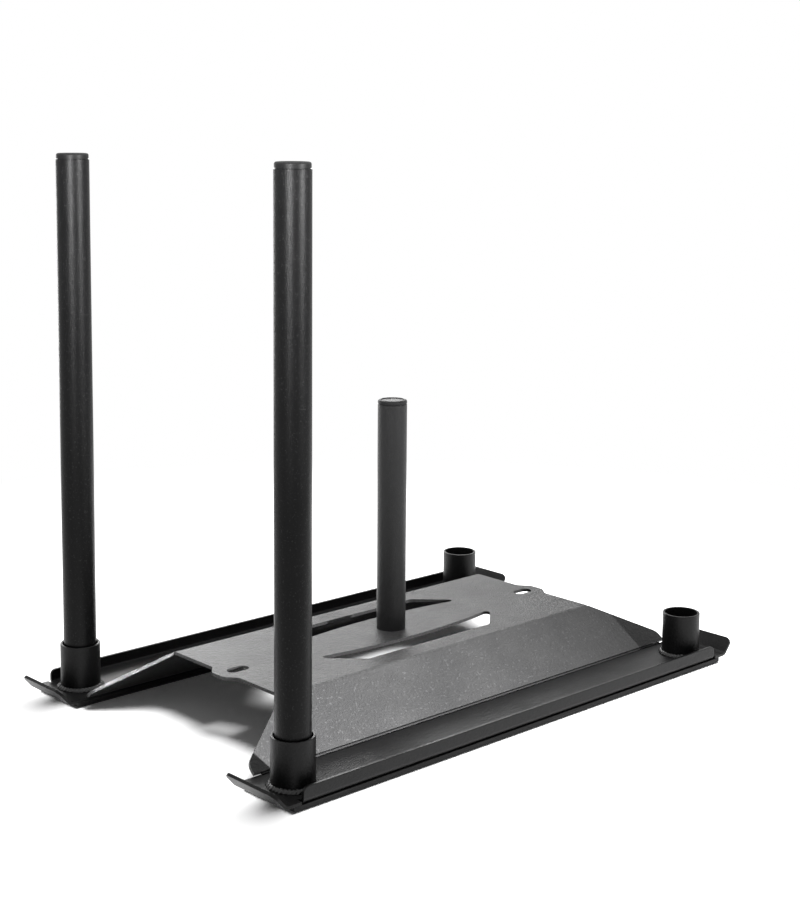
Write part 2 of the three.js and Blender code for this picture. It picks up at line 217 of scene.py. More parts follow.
def length(name, description, default):
    return FloatProperty(name=name, description=description, default=default, min=0.0, unit="LENGTH", precision=5)


def share(name, description, default, most=1.0):
    return FloatProperty(name=name, description=description, default=default, min=0.0, max=most, subtype="FACTOR")


def colour(name, description, default):
    return FloatVectorProperty(
        name=name, description=description, default=default, size=3, min=0.0, max=1.0, subtype="COLOR"
    )


def angle(name, description, degrees):
    return FloatProperty(name=name, description=description, default=math.radians(degrees), subtype="ANGLE")


def power(name, description, default):
    return FloatProperty(name=name, description=description, default=default, min=0.0, unit="POWER")


class SledSizes(bpy.types.PropertyGroup):
    cut_round: length("Cut edge rounding", "Radius that the powder coat leaves on the cut edges of the sheets", 0.0009)
    runner_round: length("Runner rounding", "Radius on the corners of the runners", 0.0012)
    socket_round: length("Socket rim rounding", "Radius on the rims of the pole sockets", 0.0009)
    tube_round: length("Tube end rounding", "Radius on the ends of the push poles and the plate post", 0.0011)
    socket_wall: length("Socket wall", "Wall thickness of the pole sockets", 0.0036)
    tube_wall: length("Tube wall", "Wall thickness of the push poles and the plate post", 0.003)
    cap_fit: length("Cap fit", "Gap between a cap's skirt and the bore of its tube", 0.0003)
    cap_edge: length("Cap edge", "Radius of the rounded edge round a cap's top", 0.0034)
    cap_groove: length("Cap groove", "Width and depth of the groove between a cap's head and its tube", 0.001)
    cap_dish: length("Cap dish", "Depth of the shallow dish in a cap's top", 0.0013)
    bead_pitch: length("Bead pitch", "Length of one ripple of a weld bead", 0.0056)
    bead_ripple: share("Bead ripple", "Depth of a bead's ripples, as a share of the bead's size", 0.13, 0.5)
    bead_scatter: share("Bead scatter", "How much one ripple differs from the next", 0.16, 0.5)
    bead_wander: share("Bead wander", "How much the size of a bead drifts along its length", 0.22, 0.5)
    seam_overrun: length("Seam overrun", "How far a slope's seam runs on round the corner of its foot", 0.014)
    round_steps: IntProperty(name="Round steps", description="Faces round a tube", default=96, min=24, max=256)


class SledFinish(bpy.types.PropertyGroup):
    # Painted shade and light: the coated parts share one black powder coat, and these base colours are lit and shaded
    # copies of it, each set to how bright that part looks under the light, the deck lightest and the poles darkest.
    sheet_colour: colour("Deck colour", "Powder coat of the deck plate", (0.02, 0.02, 0.0203))
    tray_colour: colour("Tray colour", "Powder coat of the skid trays", (0.014, 0.014, 0.0143))
    socket_colour: colour("Socket colour", "Powder coat of the pole sockets", (0.008, 0.008, 0.0082))
    pole_colour: colour("Pole colour", "Powder coat of the push poles", (0.004, 0.004, 0.0042))
    post_colour: colour("Post colour", "Powder coat of the plate post", (0.018, 0.018, 0.0185))
    bead_colour: colour("Bead colour", "Powder coat over the weld beads", (0.014, 0.014, 0.0143))
    runner_colour: colour("Runner colour", "Paint of the runners", (0.008, 0.008, 0.0082))
    cap_colour: colour("Pole cap colour", "Moulded plastic of the push poles' caps", (0.006, 0.006, 0.0062))
    post_cap_colour: colour("Post cap colour", "Moulded plastic of the plate post's cap", (0.03, 0.03, 0.0305))
    # Painted highlight, partly thin coat: this lighter colour is laid on edges, rims and weld crests; the specks take
    # it too.
    thin_colour: colour("Thin coat and edge highlight colour", "Coat where it is thin, on edges and crests", (0.16, 0.16, 0.162))
    steel_colour: colour("Bare steel colour", "Steel where the runners have rubbed bare", (0.42, 0.41, 0.4))
    dust_colour: colour("Dust colour", "Fine dust on the upper faces", (0.3, 0.295, 0.285))


class SledStage(bpy.types.PropertyGroup):
    camera_place: FloatVectorProperty(
        name="Camera place",
        description="Where the camera stands",
        default=(-1.7596, -1.9089, 0.8938),
        size=3,
        subtype="TRANSLATION",
    )
    camera_turn: angle("Camera turn", "Heading, from +Y toward +X", 42.91)
    camera_tilt: angle("Camera tilt", "How far the camera looks down", 6.89)
    camera_roll: angle("Camera roll", "Turn about the line of sight", 0.42)
    camera_lens: FloatProperty(
        name="Lens", description="Focal length on a 36 mm sensor, in millimetres", default=65.92, min=10.0
    )
    camera_shift: FloatProperty(name="Rise", description="Vertical shift of the lens", default=-0.15)
    sky_light: share("Sky light", "Light that reaches the sled from the white room", 0.13)
    floor_shade: share("Floor colour", "How pale the floor is", 0.97)
    floor_fill: share("Floor fill", "White that the camera sees on the floor beside the light on it", 0.018)
    top_power: power("Top light", "Soft box over the sled", 24.0)
    back_power: power("Back light", "Wide soft box behind the sled", 125.0)
    slope_power: power("Slope light", "Low lamp on the near side, which throws the sockets' shadows on the slope", 41.0)
    left_power: power("Left light", "Gridded soft box on the left, for the tubes", 7.0)
    near_power: power("Near light", "Gridded soft box on the near side, for the tubes", 5.0)
    edge_power: power("Edge light", "Gridded soft box high on the left, for the far slope's cut end", 2.2)
    rim_power: power("Rim light", "Low soft box behind the sled, for the left rims of the tubes", 11.0)
    floor_power: power("Floor light", "Large soft box that lights the floor round the sled", 250.0)


# Meshes


def centre_of(node):
    low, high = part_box(node)
    return (low + high) / 2


def cleaned(node):
    """The frame node's mesh with its doubles merged and its flat faces joined."""
    bm = bmesh.new()
    bm.from_mesh(frame["nodes"][node].data)
    bmesh.ops.remove_doubles(bm, verts=bm.verts, dist=MERGE_DISTANCE)
    bmesh.ops.dissolve_limit(bm, angle_limit=FLAT_ANGLE, verts=bm.verts, edges=bm.edges)
    return bm


def soften(bm, radius, steps=2):
    """Rounds the sharp edges, marks their crests in the attribute edge for the lighter edge colour, partly thin coat
    and partly painted highlight, and the narrow cut faces in cut for their painted shade.
    """
    crest = bm.verts.layers.float.new("edge")
    cut = bm.faces.layers.float.new("cut")
    sharp = [edge for edge in bm.edges if edge.is_manifold and edge.calc_face_angle() > ROUNDED_ANGLE]
    is_sharp = set(sharp)
    for face in bm.faces:
        run = sum(edge.calc_length() for edge in face.edges if edge in is_sharp) / 2
        face[cut] = 1.0 if run and face.calc_area() / run < WIDEST_CUT else 0.0
    made = bmesh.ops.bevel(
        bm,
        geom=sharp,
        offset=radius,
        offset_type="OFFSET",
        segments=steps,
        profile=0.5,
        affect="EDGES",
        clamp_overlap=True,
    )
    rounded = set(made["faces"])
    for face in rounded:
        face[cut] = 1.0
    for vertex in bm.verts:
        if vertex.link_faces and all(face in rounded for face in vertex.link_faces):
            vertex[crest] = 1.0


def piece(name, bm, node, finish):
    """Turns the mesh into a named object that stands for the frame node and rides with it."""
    for face in bm.faces:
        face.smooth = True
    for edge in bm.edges:
        edge.smooth = edge.is_manifold and edge.calc_face_angle() < CRISP_ANGLE
    bmesh.ops.recalc_face_normals(bm, faces=bm.faces)
    mesh = bpy.data.meshes.new(name)
    bm.to_mesh(mesh)
    bm.free()
    made = bpy.data.objects.new(name, mesh)
    bpy.context.scene.collection.objects.link(made)
    mesh.materials.append(finish)
    weighted = made.modifiers.new("Weighted normals", "WEIGHTED_NORMAL")
    weighted.keep_sharp = True
    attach(made, frame["nodes"][node]["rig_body"])
    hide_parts(node)
    return made


def ring_steps(steps):
    """The directions round a circle, one for each of its faces."""
    turns = (2 * math.pi * step / steps for step in range(steps))
    return [Vector((math.cos(turn), math.sin(turn), 0)) for turn in turns]


def turned(profile, centre, steps):
    """A closed ring or plug: the closed profile of (radius, height) corners turned round the upright axis."""
    bm = bmesh.new()
    rings = []
    for radius, height in profile:
        if radius == 0:
            rings.append([bm.verts.new((centre.x, centre.y, height))])
            continue
        foot = Vector((centre.x, centre.y, height))
        rings.append([bm.verts.new(foot + outward * radius) for outward in ring_steps(steps)])
    for ring, after in zip(rings, rings[1:] + rings[:1]):
        for step in range(steps):
            onward = (step + 1) % steps
            if len(ring) == 1 and len(after) == 1:
                break
            if len(ring) == 1:
                bm.faces.new((ring[0], after[onward], after[step]))
            elif len(after) == 1:
                bm.faces.new((ring[step], ring[onward], after[0]))
            else:
                bm.faces.new((ring[step], ring[onward], after[onward], after[step]))
    bmesh.ops.recalc_face_normals(bm, faces=bm.faces)
    return bm


def tube_mesh(node, wall, sizes):
    """A tube with the frame node's outer size and height, and the wall."""
    low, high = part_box(node)
    outer = (high.x - low.x) / 2
    bore = outer - wall
    profile = [(bore, low.z), (outer, low.z), (outer, high.z), (bore, high.z)]
    return turned(profile, centre_of(node), sizes.round_steps)


def ripple(place, lobe_sizes, depth):
    """Size of a bead at a place counted in ripples: rounded lobes with a sharp valley between them."""
    lobe = lobe_sizes[int(math.floor(place)) % len(lobe_sizes)]
    return (1 - depth + depth * abs(math.sin(math.pi * place))) * lobe


def swept_bead(sections, closed):
    """A closed solid from rows of points, each row one section of the bead."""
    bm = bmesh.new()
    crest = bm.verts.layers.float.new("edge")
    rows = []
    for section in sections:
        row = []
        for point, height in section:
            vertex = bm.verts.new(point)
            vertex[crest] = height
            row.append(vertex)
        rows.append(row)
    pairs = list(zip(rows, rows[1:] + rows[:1])) if closed else list(zip(rows, rows[1:]))
    for row, after in pairs:
        for here in range(len(row)):
            there = (here + 1) % len(row)
            bm.faces.new((row[here], row[there], after[there], after[here]))
    if not closed:
        bm.faces.new(rows[0])
        bm.faces.new(list(reversed(rows[-1])))
    return bm


def ring_bead(node, tube_radius, sizes, seed):
    """The weld bead round a tube's foot, as large as the frame's own."""
    low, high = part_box(node)
    centre = (low + high) / 2
    leg = (high.x - low.x) / 2 - tube_radius
    rise = high.z - low.z
    lobes = max(FEWEST_RIPPLES, round(2 * math.pi * tube_radius / sizes.bead_pitch))
    rng = random.Random(seed)
    lobe_sizes = [1 - sizes.bead_scatter * rng.random() for _ in range(lobes)]
    waves = [(count, rng.uniform(*DRIFT_HEIGHTS), rng.uniform(0, 2 * math.pi)) for count in DRIFT_WAVES]
    most = sum(height for _, height, _ in waves)
    sections = []
    rows = lobes * RING_ROWS
    for step, outward in enumerate(ring_steps(rows)):
        turn = 2 * math.pi * step / rows
        drift = sum(height * math.sin(count * turn + start) for count, height, start in waves) / most
        steady = 1 - sizes.bead_wander * (1 - drift) / 2
        section = [(centre + outward * tube_radius - Vector((0, 0, rise / 2)), 0.0)]
        for arc in range(BEAD_ARC + 1):
            lean = math.pi / 2 * arc / BEAD_ARC
            place = step / RING_ROWS - RIPPLE_LEAN * math.sin(2 * lean)
            size = ripple(place % lobes, lobe_sizes, sizes.bead_ripple) * steady
            out = leg * size * math.cos(lean) ** BEAD_FULLNESS
            up = rise * size * math.sin(lean) ** BEAD_FULLNESS
            point = centre + outward * (tube_radius + out) + Vector((0, 0, up - rise / 2))
            # Painted highlight: the ripple crests are marked for the lighter edge colour.
            section.append((point, abs(math.sin(math.pi * place)) * math.sin(2 * lean)))
        sections.append(section)
    return swept_bead(sections, True)


def seam_bead(node, sizes, seed):
    """The straight seam along the foot of a slope, on the frame's own section and longer at both ends."""
    mesh = frame["nodes"][node].data
    low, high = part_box(node)
    ends = [vertex.co for vertex in mesh.vertices if abs(vertex.co.x - low.x) < END_REACH]
    outline = sorted({(round(point.y, 6), round(point.z, 6)) for point in ends})
    middle = Vector((sum(y for y, z in outline) / len(outline), sum(z for y, z in outline) / len(outline)))
    outline.sort(key=lambda corner: math.atan2(corner[1] - middle.y, corner[0] - middle.x))
    start, length_over = low.x - sizes.seam_overrun, high.x - low.x + 2 * sizes.seam_overrun
    lobes = round(length_over / sizes.bead_pitch)
    rows = lobes * SEAM_ROWS
    rng = random.Random(seed)
    lobe_sizes = [1 - sizes.bead_scatter * rng.random() for _ in range(lobes + 1)]
    sections = []
    for step in range(rows + 1):
        x = start + length_over * step / rows
        size = ripple(step / SEAM_ROWS, lobe_sizes, sizes.bead_ripple)
        section = []
        for y, z in outline:
            point = Vector((x, middle.x + (y - middle.x) * size, middle.y + (z - middle.y) * size))
            # Painted highlight: the seam's ripple crests are marked for the lighter edge colour.
            section.append((point, abs(math.sin(math.pi * step / SEAM_ROWS)) * SEAM_CREST_HIGHLIGHT))
        sections.append(section)
    return swept_bead(sections, False)


# Finishes


def put(tree, kind, place=(0, 0), **inputs):
    """A new node, with its inputs set by name."""
    node = tree.nodes.new(kind)
    node.location = place
    for name, value in inputs.items():
        node.inputs[name.replace("_", " ")].default_value = value
    return node


def join(tree, output, target):
    tree.links.new(output, target)


def new_group(name, inputs, outputs):
    """A shader node group with a Vector input, the named float inputs with their defaults, and float outputs."""
    tree = bpy.data.node_groups.new(name, "ShaderNodeTree")
    tree.interface.new_socket(name="Vector", in_out="INPUT", socket_type="NodeSocketVector")
    for label, default in inputs.items():
        made = tree.interface.new_socket(name=label, in_out="INPUT", socket_type="NodeSocketFloat")
        made.default_value = default
    for label in outputs:
        tree.interface.new_socket(name=label, in_out="OUTPUT", socket_type="NodeSocketFloat")
    return tree, put(tree, "NodeGroupInput", (-900, 0)), put(tree, "NodeGroupOutput", (700, 0))


def mapped(tree, value, low, high, to_low=0.0, to_high=1.0):
    """The value spread from low..high to to_low..to_high."""
    node = put(tree, "ShaderNodeMapRange", From_Min=low, From_Max=high, To_Min=to_low, To_Max=to_high)
    join(tree, value, node.inputs["Value"])
    return node.outputs["Result"]


def calc(tree, operation, first, second):
    """One Math node; second is a socket or a number."""
    node = tree.nodes.new("ShaderNodeMath")
    node.operation = operation
    join(tree, first, node.inputs[0])
    if isinstance(second, (int, float)):
        node.inputs[1].default_value = second
    else:
        join(tree, second, node.inputs[1])
    return node.outputs[0]


def noise(tree, vector, scale, detail=2.0, rough=0.5):
    """A noise texture; scale is a number of features a metre or a socket that holds it."""
    node = put(tree, "ShaderNodeTexNoise", Detail=detail, Roughness=rough)
    join(tree, vector, node.inputs["Vector"])
    if isinstance(scale, (int, float)):
        node.inputs["Scale"].default_value = scale
    else:
        join(tree, scale, node.inputs["Scale"])
    return node.outputs["Fac"]


def upward_share(tree):
    """How far a face looks up: 1 straight up, -1 straight down."""
    facing = tree.nodes.new("ShaderNodeNewGeometry")
    split = tree.nodes.new("ShaderNodeSeparateXYZ")
    join(tree, facing.outputs["Normal"], split.inputs[0])
    return split.outputs["Z"]


def powder_grain_group():
    """Textured powder coat: fine pebbles, a slow mottle and bright specks."""
    tree, start, end = new_group("Powder Grain", {"Scale": 700.0}, ("Height", "Mottle", "Specks"))
    pebbles = noise(tree, start.outputs["Vector"], start.outputs["Scale"], 3.0, 0.6)
    coarse = noise(tree, start.outputs["Vector"], calc(tree, "MULTIPLY", start.outputs["Scale"], COARSE_SCALE), 1.0)
    fine_part = calc(tree, "MULTIPLY", pebbles, PEBBLE_SHARE)
    height = calc(tree, "ADD", fine_part, calc(tree, "MULTIPLY", coarse, 1 - PEBBLE_SHARE))
    join(tree, mapped(tree, height, *MOST_NOISE), end.inputs["Height"])
    slow = noise(tree, start.outputs["Vector"], MOTTLE_SCALE, 4.0, 0.55)
    join(tree, mapped(tree, slow, *MOST_NOISE), end.inputs["Mottle"])
    specks = noise(tree, start.outputs["Vector"], calc(tree, "MULTIPLY", start.outputs["Scale"], SPECK_SCALE), 1.0)
    join(tree, mapped(tree, specks, *SPECK_SPAN), end.inputs["Specks"])
    return tree


def edge_highlight_and_wear_group():
    """Mask: edges and crests that take the lighter coat colour, partly where the coat is thin and partly as a painted
    highlight, broken up by noise. Cut: where a sheet or tube was cut, which gets painted shade and a smoother finish.
    """
    tree, start, end = new_group("Edge Wear", {"Breakup": 90.0}, ("Mask", "Cut"))
    crest = put(tree, "ShaderNodeAttribute")
    crest.attribute_name = "edge"
    spots = noise(tree, start.outputs["Vector"], start.outputs["Breakup"], 4.0, 0.65)
    broken = mapped(tree, spots, *WORN_SPAN, LEAST_WEAR_AND_HIGHLIGHT, 1.0)
    join(tree, calc(tree, "MULTIPLY", crest.outputs["Fac"], broken), end.inputs["Mask"])
    cut = put(tree, "ShaderNodeAttribute")
    cut.attribute_name = "cut"
    join(tree, cut.outputs["Fac"], end.inputs["Cut"])
    return tree


def dust_group():
    """A thin film of dust on faces that look up, thicker in soft patches."""
    tree, start, end = new_group("Dust Film", {"Patch Scale": 9.0}, ("Mask",))
    upward = mapped(tree, upward_share(tree), DUSTY_FROM, 1.0)
    patches = noise(tree, start.outputs["Vector"], start.outputs["Patch Scale"], 6.0, 0.6)
    patches = mapped(tree, patches, *DUST_SPAN)
    join(tree, calc(tree, "MULTIPLY", upward, patches), end.inputs["Mask"])
    return tree


def scuff_group():
    """Long fine scratches along the sled's length."""
    tree, start, end = new_group("Long Scuffs", {"Fineness": 260.0}, ("Mask", "Height"))
    stretch = tree.nodes.new("ShaderNodeVectorMath")
    stretch.operation = "MULTIPLY"
    stretch.inputs[1].default_value = SCRATCH_SQUEEZE
    join(tree, start.outputs["Vector"], stretch.inputs[0])
    lines = noise(tree, stretch.outputs[0], start.outputs["Fineness"], 5.0, 0.7)
    join(tree, mapped(tree, lines, *SCRATCH_SPAN), end.inputs["Mask"])
    join(tree, lines, end.inputs["Height"])
    return tree


def group_in(tree, name, vector, place, **inputs):
    node = tree.nodes.new("ShaderNodeGroup")
    node.node_tree = bpy.data.node_groups[name]
    node.location = place
    join(tree, vector, node.inputs["Vector"])
    for label, value in inputs.items():
        node.inputs[label.replace("_", " ")].default_value = value
    return node


def blended(tree, mask, amount, under, over):
    """The colour under, with the colour over laid on it where the mask is, by the amount."""
    mix = tree.nodes.new("ShaderNodeMix")
    mix.data_type = "RGBA"
    join(tree, calc(tree, "MULTIPLY", mask, amount), mix.inputs["Factor"])
    for source, target in ((under, mix.inputs["A"]), (over, mix.inputs["B"])):
        if isinstance(source, bpy.types.NodeSocket):
            join(tree, source, target)
        else:
            target.default_value = (*source, 1.0)
    return mix.outputs["Result"]


def shade(colour_value, factor):
    return tuple(min(1.0, channel * factor) for channel in colour_value)


def mottled(tree, powder, base, tones):
    """The base colour, drifting between its two tones with the mottle of the powder group."""
    darker, lighter = (shade(base, tone) for tone in tones)
    return blended(tree, powder.outputs["Mottle"], 1.0, darker, lighter)


def new_finish(name, specular):
    """A new material: its node tree, its shader with the specular level set, and the object coordinates."""
    made = bpy.data.materials.new(name)
    made.use_nodes = True
    tree = made.node_tree
    shader = tree.nodes["Principled BSDF"]
    shader.inputs["Specular IOR Level"].default_value = specular
    return made, tree, shader, tree.nodes.new("ShaderNodeTexCoord").outputs["Object"]


def raised(tree, shader, height, strength, depth):
    """Gives the shader a bump from the height, as deep as the depth in metres."""
    bump = put(tree, "ShaderNodeBump", (-200, -300), Strength=strength, Distance=depth)
    join(tree, height, bump.inputs["Height"])
    join(tree, bump.outputs["Normal"], shader.inputs["Normal"])


def coated(name, base, thin, dust, rough, grain, grain_depth, specks, dusting, specular, wear, cut_gloss):
    """Powder coated steel, smoother on its cut edges, with painted shade on its cut faces and a lighter colour on its
    edges and crests that is partly thin coat and partly painted highlight.
    """
    made, tree, shader, place = new_finish(name, specular)
    powder = group_in(tree, "Powder Grain", place, GRAIN_AT, Scale=grain)
    edges = group_in(tree, "Edge Wear", place, WEAR_AT)
    film = group_in(tree, "Dust Film", place, FILM_AT)
    tone = mottled(tree, powder, base, MOTTLE_TONES)
    tone = blended(tree, powder.outputs["Specks"], specks, tone, shade(thin, SPECK_TONE))
    tone = blended(tree, film.outputs["Mask"], dusting, tone, dust)
    # Lighter colour on edges and crests: partly thin coat, partly painted highlight.
    tone = blended(tree, edges.outputs["Mask"], wear, tone, thin)
    # Painted shade: the cut faces are darkened.
    tone = blended(tree, edges.outputs["Cut"], CUT_SHADE_COVER, tone, shade(base, CUT_SHADE_TONE))
    join(tree, tone, shader.inputs["Base Color"])
    gloss = mapped(tree, powder.outputs["Mottle"], 0.0, 1.0, *(rough + change for change in ROUGH_SPREAD))
    smoother = calc(tree, "MULTIPLY", edges.outputs["Cut"], cut_gloss)
    join(tree, calc(tree, "SUBTRACT", gloss, smoother), shader.inputs["Roughness"])
    raised(tree, shader, powder.outputs["Height"], 1.0, grain_depth)
    return made


def runner_paint(
    name,
    base,
    thin,
    steel,
    specular=0.15,
    grain=500.0,
    breakup=60.0,
    tones=(0.85, 1.2),
    wear=0.25,
    side_and_sole_scuffs=(0.05, 0.9),
    metal=0.9,
    rough_to_rubbed=(0.52, 0.32),
    scratch_height=0.8,
    strength=0.8,
    depth=0.0002,
):
    """Painted steel, scuffed along its length, rubbed bare where it looks down on the floor, and lighter on its edges,
    partly wear and partly painted highlight.
    """
    made, tree, shader, place = new_finish(name, specular)
    powder = group_in(tree, "Powder Grain", place, GRAIN_AT, Scale=grain)
    edges = group_in(tree, "Edge Wear", place, WEAR_AT, Breakup=breakup)
    scuffs = group_in(tree, "Long Scuffs", place, FILM_AT)
    sole = mapped(tree, upward_share(tree), *SOLE_SPAN)
    rubbed = calc(tree, "MULTIPLY", scuffs.outputs["Mask"], mapped(tree, sole, 0.0, 1.0, *side_and_sole_scuffs))
    tone = mottled(tree, powder, base, tones)
    # Lighter edges: partly wear, partly painted highlight.
    tone = blended(tree, edges.outputs["Mask"], wear, tone, thin)
    tone = blended(tree, rubbed, 1.0, tone, steel)
    join(tree, tone, shader.inputs["Base Color"])
    join(tree, calc(tree, "MULTIPLY", rubbed, metal), shader.inputs["Metallic"])
    join(tree, mapped(tree, rubbed, 0.0, 1.0, *rough_to_rubbed), shader.inputs["Roughness"])
    scratches = calc(tree, "MULTIPLY", scuffs.outputs["Height"], scratch_height)
    raised(tree, shader, calc(tree, "ADD", powder.outputs["Height"], scratches), strength, depth)
    return made


def cap_plastic(
    name,
    base,
    thin,
    dust,
    specular=0.13,
    grain=1400.0,
    breakup=200.0,
    dust_patches=60.0,
    tones=(0.9, 1.15),
    dusting=0.03,
    wear=0.04,
    rough=(0.38, 0.5),
    strength=0.5,
    depth=0.00005,
):
    """Satin moulded plastic with a very fine spark texture, and a faint painted highlight on the rim of its head."""
    made, tree, shader, place = new_finish(name, specular)
    powder = group_in(tree, "Powder Grain", place, GRAIN_AT, Scale=grain)
    edges = group_in(tree, "Edge Wear", place, WEAR_AT, Breakup=breakup)
    film = group_in(tree, "Dust Film", place, FILM_AT, Patch_Scale=dust_patches)
    tone = mottled(tree, powder, base, tones)
    tone = blended(tree, film.outputs["Mask"], dusting, tone, dust)
    tone = blended(tree, edges.outputs["Mask"], wear, tone, thin)
    join(tree, tone, shader.inputs["Base Color"])
    join(tree, mapped(tree, powder.outputs["Height"], 0.0, 1.0, *rough), shader.inputs["Roughness"])
    raised(tree, shader, powder.outputs["Height"], strength, depth)
    return made


def finish_of(kind):
    """The named finish, made once from the colours in the sidebar."""
    name = FINISH_NAMES[kind]
    if name in bpy.data.materials:
        return bpy.data.materials[name]
    if "Powder Grain" not in bpy.data.node_groups:
        powder_grain_group()
        edge_highlight_and_wear_group()
        dust_group()
        scuff_group()
    values = bpy.context.scene.push_sled_finish
    base = tuple(getattr(values, BORROWED_COLOURS.get(kind, kind) + "_colour"))
    thin, dust = tuple(values.thin_colour), tuple(values.dust_colour)
    if kind == "runner":
        return runner_paint(name, base, thin, tuple(values.steel_colour))
    if kind in ("cap", "post_cap"):
        return cap_plastic(name, base, thin, dust)
    return coated(name, base, thin, dust, **dict(zip(COAT_FIELDS, COATS[kind])))


# Operators, one for each piece or group of like pieces


class SledDeck(bpy.types.Operator):
    """Build the deck plate: one bent sheet with its slots, tabs and slopes"""

    bl_idname = "push_sled.deck"
    bl_label = "Deck Plate"

    def execute(self, context):
        sizes = context.scene.push_sled_sizes
        bm = cleaned("deck_plate")
        soften(bm, sizes.cut_round)
        piece("Deck_Plate", bm, "deck_plate", finish_of("deck"))
        return {"FINISHED"}


class SledTrays(bpy.types.Operator):
    """Build the two skid trays, each with its flange and upturned lips"""

    bl_idname = "push_sled.trays"
    bl_label = "Skid Trays"

    def execute(self, context):
        sizes = context.scene.push_sled_sizes
        for side in SIDES:
            bm = cleaned("skid_tray_" + side)
            soften(bm, sizes.cut_round)
            piece("Skid_Tray_" + side.title(), bm, "skid_tray_" + side, finish_of("tray"))
        return {"FINISHED"}


class SledRunners(bpy.types.Operator):
    """Build the wear bars under the trays"""

    bl_idname = "push_sled.runners"
    bl_label = "Runners"

    def execute(self, context):
        sizes = context.scene.push_sled_sizes
        for side in SIDES:
            bm = cleaned("runner_" + side)
            soften(bm, sizes.runner_round)
            piece("Runner_" + side.title(), bm, "runner_" + side, finish_of("runner"))
        return {"FINISHED"}


class SledSockets(bpy.types.Operator):
    """Build the four pole sockets"""

    bl_idname = "push_sled.sockets"
    bl_label = "Pole Sockets"

    def execute(self, context):
        sizes = context.scene.push_sled_sizes
        for corner in CORNERS:
            node = "socket_" + corner
            bm = tube_mesh(node, sizes.socket_wall, sizes)
            soften(bm, sizes.socket_round, steps=3)
            piece("Socket_" + corner.title(), bm, node, finish_of("socket"))
        return {"FINISHED"}


class SledPoles(bpy.types.Operator):
    """Build the two push poles"""

    bl_idname = "push_sled.poles"
    bl_label = "Push Poles"

    def execute(self, context):
        sizes = context.scene.push_sled_sizes
        for side in SIDES:
            node = "push_pole_" + side
            bm = tube_mesh(node, sizes.tube_wall, sizes)
            soften(bm, sizes.tube_round)
            piece("Push_Pole_" + side.title(), bm, node, finish_of("pole"))
        return {"FINISHED"}


def cap_mesh(node, tube, sizes):
    """A plug cap: a skirt in the tube, a groove, and a head with a rounded edge and a shallow dish in its top."""
    low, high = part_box(node)
    tube_low, tube_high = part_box(tube)
    head = (high.x - low.x) / 2
    skirt = (tube_high.x - tube_low.x) / 2 - sizes.tube_wall - sizes.cap_fit
    seat = tube_high.z + sizes.cap_fit
    hollow = skirt - sizes.tube_wall
    roof = seat + (high.z - seat) * CAP_HOLLOW
    groove, edge, dish = sizes.cap_groove, sizes.cap_edge, sizes.cap_dish
    flat = head - edge - CAP_LAND
    leans = [math.pi / 2 * step / CAP_ARC for step in range(CAP_ARC + 1)]
    profile = [(0, roof), (hollow, roof), (hollow, low.z), (skirt, low.z), (skirt, seat), (head - groove, seat)]
    profile += [(head - groove, seat + groove), (head, seat + groove)]
    profile += [(head - edge * (1 - math.cos(lean)), high.z - edge * (1 - math.sin(lean))) for lean in leans]
    profile += [(flat - dish * math.sin(lean), high.z - dish * (1 - math.cos(lean))) for lean in leans]
    profile.append((0, high.z - dish))
    bm = turned(profile, centre_of(node), sizes.round_steps)
    # Painted highlight: the rounded rim of the head is marked for the lighter edge colour.
    crest = bm.verts.layers.float.new("edge")
    middle = (low + high) / 2
    for vertex in bm.verts:
        on_edge = high.z - edge < vertex.co.z and (vertex.co - middle).xy.length > flat
        vertex[crest] = 1.0 if on_edge else 0.0
    return bm


class SledCaps(bpy.types.Operator):
    """Build the plastic caps in the tops of the poles and of the plate post"""

    bl_idname = "push_sled.caps"
    bl_label = "Tube Caps"

    def execute(self, context):
        for node, tube in CAPPED_TUBES:
            bm = cap_mesh(node, tube, context.scene.push_sled_sizes)
            piece(node.title(), bm, node, finish_of("post_cap" if tube == "plate_post" else "cap"))
        return {"FINISHED"}


class SledPost(bpy.types.Operator):
    """Build the post that the weight plates go on"""

    bl_idname = "push_sled.post"
    bl_label = "Plate Post"

    def execute(self, context):
        sizes = context.scene.push_sled_sizes
        bm = tube_mesh("plate_post", sizes.tube_wall, sizes)
        soften(bm, sizes.tube_round)
        piece("Plate_Post", bm, "plate_post", finish_of("post"))
        return {"FINISHED"}


class SledBeads(bpy.types.Operator):
    """Build the rippled weld beads of the sockets, the post and the slopes"""

    bl_idname = "push_sled.beads"
    bl_label = "Weld Beads"

    def execute(self, context):
        sizes = context.scene.push_sled_sizes
        rings = [("weld_socket_" + corner, "socket_" + corner) for corner in CORNERS] + [("weld_post", "plate_post")]
        for number, (node, tube) in enumerate(rings):
            low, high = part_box(tube)
            bm = ring_bead(node, (high.x - low.x) / 2 + BEAD_GAP, sizes, number)
            piece(node.title(), bm, node, finish_of("bead"))
        for number, side in enumerate(SIDES):
            node = "weld_seam_" + side
            bm = seam_bead(node, sizes, SEAM_SEED + number)
            piece(node.title(), bm, node, finish_of("seam"))
        return {"FINISHED"}


def seen_straight(tree, place):
    """1 for the rays of the camera, of reflections and through glass, 0 for the rest."""
    path = put(tree, "ShaderNodeLightPath", place)
    seen = calc(tree, "MAXIMUM", path.outputs["Is Camera Ray"], path.outputs["Is Glossy Ray"])
    return calc(tree, "MAXIMUM", seen, path.outputs["Is Transmission Ray"])


